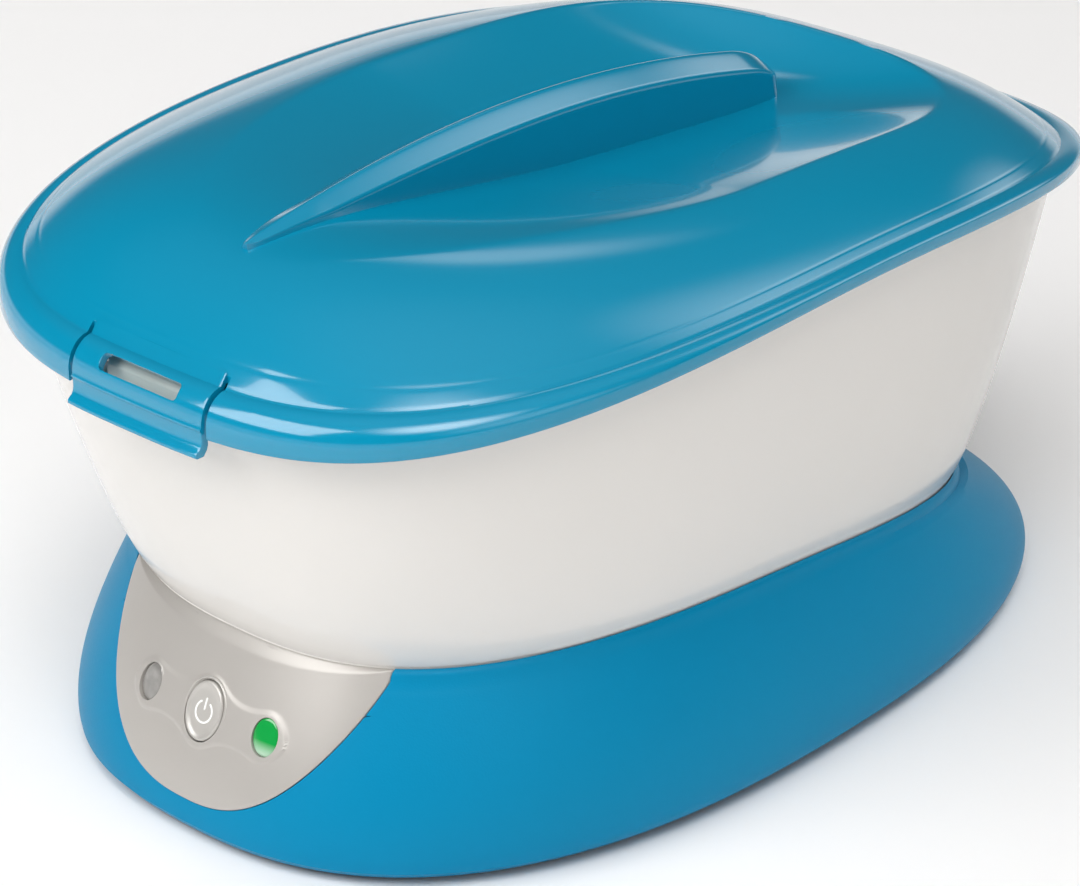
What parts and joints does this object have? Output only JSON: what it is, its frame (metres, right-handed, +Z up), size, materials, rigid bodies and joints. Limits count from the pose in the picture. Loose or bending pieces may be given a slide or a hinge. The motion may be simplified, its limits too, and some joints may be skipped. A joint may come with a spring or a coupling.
{
  "type": "paraffin wax bath",
  "caption": "Electric paraffin wax bath with a heated pan, a front control panel and a latching see-through lid with a fin handle.",
  "frame": {"origin": "centre of the bounding box in plan, on the plane the rubber feet stand on", "axes": "+Z up, the control panel faces -Y, the long side runs along Y"},
  "size_m": [0.28, 0.4042, 0.2155],
  "materials": {
    "base_blue": "satin, fine moulded grain",
    "dark_plastic": "satin",
    "rubber": "matt",
    "steel": "zinc plated",
    "tub_white": "gloss",
    "gasket": "soft silicone",
    "pan_metal": "anodised satin",
    "grille_plastic": "satin",
    "spreader_metal": "rolled sheet",
    "heater_sheath": "oxidised",
    "felt": "fibrous",
    "thermostat_resin": "moulded",
    "ceramic_white": "glazed",
    "panel_silver": "fine metallic satin",
    "button_silver": "metallic satin",
    "lens_clear": "clear",
    "lens_green": "clear, tinted",
    "board_green": "solder resist",
    "led_red": "gloss",
    "led_green": "gloss",
    "relay_blue": "moulded",
    "wire_red": "silicone sleeve",
    "wire_dark": "satin",
    "lid_blue": "gloss, translucent"
  },
  "bodies": {
    "housing": {"base_housing": "base_blue", "bottom_plate": "dark_plastic", "rubber_feet": "rubber", "bottom_screws": "steel", "tub_screws": "steel", "outer_tub": "tub_white", "rim_gasket": "gasket", "wax_pan": "pan_metal", "heat_spreader": "spreader_metal", "heater_element": "heater_sheath", "heater_brackets": "steel", "bracket_nuts": "steel", "insulation_band": "felt", "thermostat": "thermostat_resin", "thermal_fuse": "ceramic_white", "fuse_strap": "steel", "control_panel": "panel_silver", "heating_lens": "lens_clear", "ready_lens": "lens_green", "control_board": "board_green", "board_screws": "steel", "heating_led": "led_red", "ready_led": "led_green", "switch_body": "dark_plastic", "board_relay": "relay_blue", "terminal_block": "grille_plastic", "heater_wires": "wire_red", "board_wires": "wire_dark", "cord_gland": "dark_plastic", "gland_nut": "dark_plastic"},
    "lid": {"lid": "lid_blue"},
    "latch": {"latch_tab": "lid_blue"},
    "button": {"power_button": "button_silver"},
    "plunger": {"switch_plunger": "grille_plastic"},
    "grille": {"pan_grille": "grille_plastic"}
  },
  "joints": [
    {"name": "lid_lift", "type": "slide", "parent": "housing", "child": "lid", "axis": [0, 0, 1], "range_m": [0, 0.12]},
    {"name": "latch_flex", "type": "hinge", "parent": "lid", "child": "latch", "pos_m": [0, -0.1874, 0.1801], "axis": [-1, 0, 0], "range_deg": [0, 8], "stiffness_Nm_per_rad": 0.8},
    {"name": "button_press", "type": "slide", "parent": "housing", "child": "button", "axis": [0, 0.9135, -0.4067], "range_m": [0, 0.0012], "stiffness_N_per_m": 900},
    {"name": "plunger_press", "type": "slide", "parent": "housing", "child": "plunger", "axis": [0, 0.9135, -0.4067], "range_m": [0, 0.0012]},
    {"name": "grille_lift", "type": "slide", "parent": "housing", "child": "grille", "axis": [0, 0, 1], "range_m": [0, 0.06]}
  ],
  "couplings": [
    {"joint": "plunger_press", "follows": "button_press", "ratio": 1}
  ]
}
